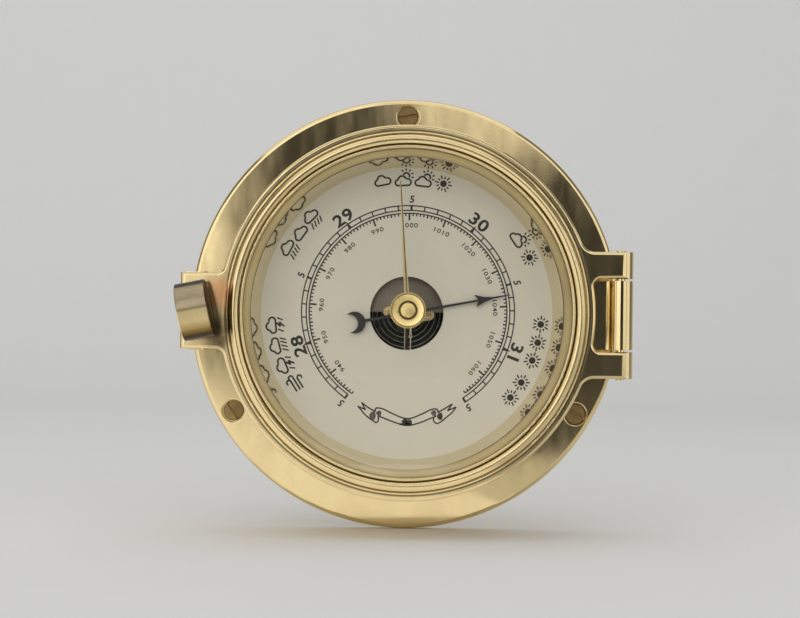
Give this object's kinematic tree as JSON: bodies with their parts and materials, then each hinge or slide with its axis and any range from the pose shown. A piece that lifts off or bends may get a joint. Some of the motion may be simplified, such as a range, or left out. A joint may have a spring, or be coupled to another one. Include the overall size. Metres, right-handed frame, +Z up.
{
  "type": "marine barometer",
  "caption": "Bulkhead aneroid marine barometer: brass flange and drum, hinged glazed lid with a thumb screw clasp, set hand and corrugated capsule movement.",
  "frame": {"origin": "centre of the flange's back plane, where it meets the bulkhead", "axes": "+Z up, +X to the viewer's right (hinge side), the dial faces -Y"},
  "size_m": [0.1517, 0.0669, 0.15],
  "materials": {
    "polished_brass": "polished, lacquered",
    "mirror_brass": "mirror polished, spun",
    "satin_brass": "turned, satin",
    "gilt_brass": "gilt, fine turned",
    "aged_brass": "aged, dull",
    "movement_brass": "satin",
    "dial_enamel": "satin cream lacquer with a black print",
    "clear_glass": "polished",
    "bright_steel": "polished",
    "bronzed_steel": "satin, bronzed",
    "dark_steel": "satin, darkened",
    "black_lacquer": "satin black lacquer"
  },
  "bodies": {
    "case": {"case_body": "polished_brass", "back_cover": "movement_brass", "cover_screws": "aged_brass", "mounting_screws": "aged_brass", "hinge_pin": "polished_brass", "reflector_ring": "mirror_brass", "dial": "dial_enamel", "dial_posts": "movement_brass", "movement_plate": "movement_brass", "plate_screws": "bright_steel", "capsule": "black_lacquer", "capsule_post": "bright_steel", "capsule_nut": "bright_steel", "post_pin": "bright_steel", "spring_bridge": "black_lacquer", "main_spring": "black_lacquer", "spring_screws": "bright_steel", "rocker_posts": "movement_brass", "top_plate": "bronzed_steel", "top_plate_pillars": "movement_brass", "top_plate_screws": "bright_steel", "arbor_bridge": "movement_brass", "bridge_posts": "movement_brass", "bridge_screws": "movement_brass", "hairspring": "bright_steel"},
    "adjuster": {"adjusting_screw": "movement_brass"},
    "lever": {"main_lever": "dark_steel", "link_rod": "bright_steel"},
    "rocker": {"rocker_shaft": "bright_steel"},
    "chain": {"chain": "movement_brass"},
    "hand": {"hand_arbor": "bright_steel", "indicating_hand": "black_lacquer"},
    "lid": {"lid_ring": "polished_brass", "glass": "clear_glass", "glass_retainer": "mirror_brass", "set_hand_bush": "polished_brass", "bush_nut": "polished_brass", "keeper_pin": "polished_brass"},
    "set_pointer": {"set_hand_arbor": "gilt_brass", "set_hand_knob": "gilt_brass", "set_hand": "gilt_brass"},
    "clasp_washer": {"thumb_washer": "polished_brass"},
    "clasp_screw": {"thumb_screw": "satin_brass"}
  },
  "joints": [
    {"name": "lid_hinge", "type": "hinge", "parent": "case", "child": "lid", "pos_m": [0.0713, -0.0313, 0], "axis": [0, 0, 1], "range_deg": [0, 175]},
    {"name": "thumb_lift", "type": "slide", "parent": "lid", "child": "clasp_washer", "axis": [0, -1, 0], "range_m": [0, 0.005]},
    {"name": "thumb_turn", "type": "hinge", "parent": "clasp_washer", "child": "clasp_screw", "pos_m": [-0.0696, -0.0435, 0], "axis": [0, -1, 0], "range_deg": [0, 2250]},
    {"name": "set_hand_turn", "type": "hinge", "parent": "lid", "child": "set_pointer", "pos_m": [0, -0.038, 0.0008], "axis": [0, 1, 0], "continuous": true},
    {"name": "hand_turn", "type": "hinge", "parent": "case", "child": "hand", "pos_m": [0, -0.0214, 0], "axis": [0, 1, 0], "range_deg": [-222.2, 67.8]},
    {"name": "rocker_turn", "type": "hinge", "parent": "case", "child": "rocker", "pos_m": [0, -0.0107, -0.03], "axis": [1, 0, 0], "range_deg": [-38.5, 11.7]},
    {"name": "lever_tilt", "type": "hinge", "parent": "case", "child": "lever", "pos_m": [0, -0.014, -0.005], "axis": [1, 0, 0], "range_deg": [-3.9, 1.2]},
    {"name": "chain_run", "type": "slide", "parent": "case", "child": "chain", "axis": [0, 0, 1], "range_m": [-0.00125, 0.004]},
    {"name": "adjuster_turn", "type": "hinge", "parent": "case", "child": "adjuster", "pos_m": [0, -0.004, 0.037], "axis": [0, 1, 0], "range_deg": [-360, 360]}
  ],
  "couplings": [
    {"joint": "thumb_turn", "follows": "thumb_lift", "rad_per_m": 7854},
    {"joint": "rocker_turn", "follows": "hand_turn", "ratio": 0.171},
    {"joint": "lever_tilt", "follows": "hand_turn", "ratio": 0.01697},
    {"joint": "chain_run", "follows": "hand_turn", "m_per_rad": -0.00101}
  ]
}
